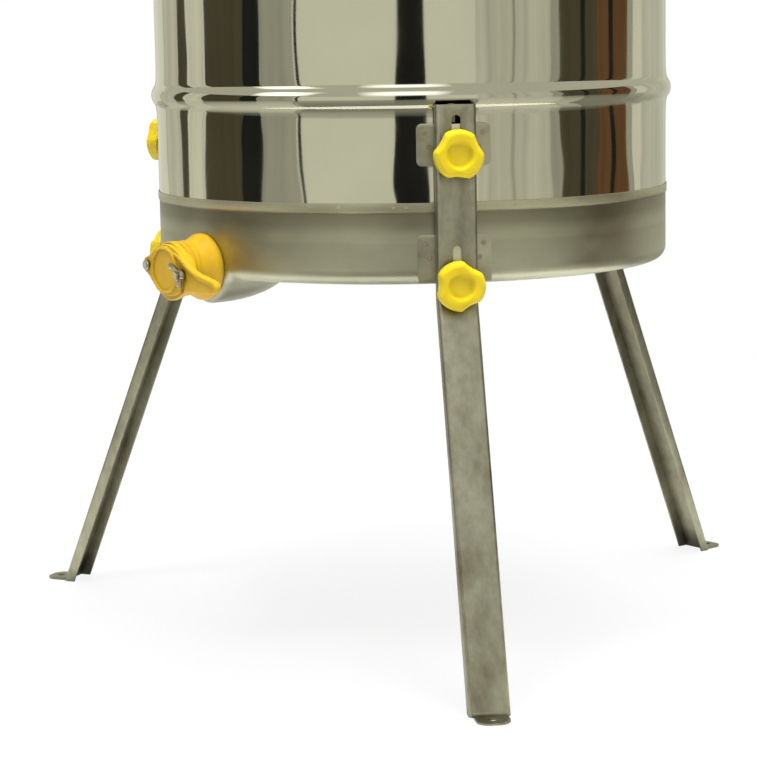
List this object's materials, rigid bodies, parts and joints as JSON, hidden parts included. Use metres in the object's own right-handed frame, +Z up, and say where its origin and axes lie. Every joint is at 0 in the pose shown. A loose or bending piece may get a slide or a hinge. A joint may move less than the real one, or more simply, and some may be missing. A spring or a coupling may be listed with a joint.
{
  "type": "radial honey extractor",
  "caption": "Hand-cranked radial honey extractor: steel drum with bevel-driven frame basket, hinged clear lids, honey gate and slotted, splayed legs.",
  "frame": {"origin": "on the floor under the drum's axis, at the centre of the circle of foot holes", "axes": "+Z up along the drum's axis, -Y towards the honey gate, +X towards the crank"},
  "size_m": [0.7866, 0.7689, 1.1104],
  "materials": {
    "polished_steel": "mirror polish",
    "satin_steel": "satin",
    "leg_steel": "satin",
    "fastener_steel": "bright",
    "bar_steel": "brushed",
    "basket_steel": "electropolished",
    "turned_steel": "turned",
    "cast_aluminium": "cast",
    "bearing_bronze": "turned",
    "yellow_plastic": "semi gloss",
    "amber_plastic": "semi gloss",
    "gasket_rubber": "matt",
    "black_plastic": "fine grain",
    "clear_plastic": "clear"
  },
  "bodies": {
    "drum": {"drum_wall": "polished_steel", "rim_wire": "polished_steel", "bottom_pan": "satin_steel", "outlet_stub": "satin_steel", "leg_brackets": "satin_steel", "leg_studs": "fastener_steel", "knob_washers": "fastener_steel", "crossbar_bolts": "fastener_steel", "wall_bolts": "fastener_steel", "deck_bolts": "fastener_steel", "gate_pivot_screw": "fastener_steel", "gate_clamp_bolt": "fastener_steel", "thrust_ball": "fastener_steel", "crossbar": "bar_steel", "crossbar_end_brackets": "bar_steel", "gear_cover": "bar_steel", "hinge_rods": "bar_steel", "rod_brackets": "bar_steel", "top_bearing_housing": "cast_aluminium", "bottom_bearing_cup": "cast_aluminium", "pillow_blocks": "cast_aluminium", "top_bush": "bearing_bronze", "crank_bushes": "bearing_bronze", "gate_body": "amber_plastic", "gate_gasket": "gasket_rubber"},
    "basket": {"basket_shaft": "turned_steel", "bevel_pinion": "turned_steel", "lower_hub": "basket_steel", "upper_hub": "basket_steel", "lower_spokes": "basket_steel", "upper_spokes": "basket_steel", "lower_outer_ring": "basket_steel", "upper_outer_ring": "basket_steel", "lower_guide_ring": "basket_steel", "upper_guide_ring": "basket_steel", "basket_uprights": "basket_steel"},
    "crank": {"crank_shaft": "turned_steel", "drive_gear": "turned_steel", "crank_arm": "bar_steel", "crank_nut": "fastener_steel", "grip_pin": "turned_steel"},
    "grip": {"crank_grip": "black_plastic"},
    "front_lid": {"front_lid": "clear_plastic", "front_lid_clips": "bar_steel", "front_lid_knob": "black_plastic"},
    "rear_lid": {"rear_lid": "clear_plastic", "rear_lid_clips": "bar_steel", "rear_lid_knob": "black_plastic"},
    "gate": {"gate_plate": "amber_plastic"},
    "wing_nut": {"gate_wing_nut": "fastener_steel"},
    "leg_front_left": {"leg_front_left": "leg_steel"},
    "knob_front_left_lower": {"knob_front_left_lower": "yellow_plastic"},
    "knob_front_left_upper": {"knob_front_left_upper": "yellow_plastic"},
    "leg_front_right": {"leg_front_right": "leg_steel"},
    "knob_front_right_lower": {"knob_front_right_lower": "yellow_plastic"},
    "knob_front_right_upper": {"knob_front_right_upper": "yellow_plastic"},
    "leg_rear": {"leg_rear": "leg_steel"},
    "knob_rear_lower": {"knob_rear_lower": "yellow_plastic"},
    "knob_rear_upper": {"knob_rear_upper": "yellow_plastic"}
  },
  "joints": [
    {"name": "basket_spin", "type": "hinge", "parent": "drum", "child": "basket", "pos_m": [0, 0, 0.4323], "axis": [0, 0, 1], "continuous": true},
    {"name": "crank_spin", "type": "hinge", "parent": "drum", "child": "crank", "pos_m": [0.06299, 0, 1.05923], "axis": [1, 0, 0], "continuous": true},
    {"name": "grip_spin", "type": "hinge", "parent": "crank", "child": "grip", "pos_m": [0.2923, 0, 0.90923], "axis": [1, 0, 0], "continuous": true},
    {"name": "front_lid_hinge", "type": "hinge", "parent": "drum", "child": "front_lid", "pos_m": [0, -0.062, 0.9873], "axis": [-1, 0, 0], "range_deg": [0, 92]},
    {"name": "rear_lid_hinge", "type": "hinge", "parent": "drum", "child": "rear_lid", "pos_m": [0, 0.062, 0.9873], "axis": [1, 0, 0], "range_deg": [0, 92]},
    {"name": "gate_swing", "type": "hinge", "parent": "drum", "child": "gate", "pos_m": [-0.03086, -0.3031, 0.38747], "axis": [0, -1, 0], "range_deg": [0, 90]},
    {"name": "wing_nut_spin", "type": "hinge", "parent": "drum", "child": "wing_nut", "pos_m": [0.03086, -0.3031, 0.38153], "axis": [0, -1, 0], "range_deg": [0, 720]},
    {"name": "leg_front_left_slide", "type": "slide", "parent": "drum", "child": "leg_front_left", "axis": [0, 0, -1], "range_m": [0, 0.032]},
    {"name": "knob_front_left_lower_spin", "type": "hinge", "parent": "drum", "child": "knob_front_left_lower", "pos_m": [-0.24223, -0.13985, 0.3745], "axis": [-0.866, -0.5, 0], "range_deg": [0, 720]},
    {"name": "knob_front_left_upper_spin", "type": "hinge", "parent": "drum", "child": "knob_front_left_upper", "pos_m": [-0.24223, -0.13985, 0.496], "axis": [-0.866, -0.5, 0], "range_deg": [0, 720]},
    {"name": "leg_front_right_slide", "type": "slide", "parent": "drum", "child": "leg_front_right", "axis": [0, 0, -1], "range_m": [0, 0.032]},
    {"name": "knob_front_right_lower_spin", "type": "hinge", "parent": "drum", "child": "knob_front_right_lower", "pos_m": [0.24223, -0.13985, 0.3745], "axis": [0.866, -0.5, 0], "range_deg": [0, 720]},
    {"name": "knob_front_right_upper_spin", "type": "hinge", "parent": "drum", "child": "knob_front_right_upper", "pos_m": [0.24223, -0.13985, 0.496], "axis": [0.866, -0.5, 0], "range_deg": [0, 720]},
    {"name": "leg_rear_slide", "type": "slide", "parent": "drum", "child": "leg_rear", "axis": [0, 0, -1], "range_m": [0, 0.032]},
    {"name": "knob_rear_lower_spin", "type": "hinge", "parent": "drum", "child": "knob_rear_lower", "pos_m": [0, 0.2797, 0.3745], "axis": [0, 1, 0], "range_deg": [0, 720]},
    {"name": "knob_rear_upper_spin", "type": "hinge", "parent": "drum", "child": "knob_rear_upper", "pos_m": [0, 0.2797, 0.496], "axis": [0, 1, 0], "range_deg": [0, 720]}
  ],
  "couplings": [
    {"joint": "crank_spin", "follows": "basket_spin", "ratio": 0.33333}
  ]
}
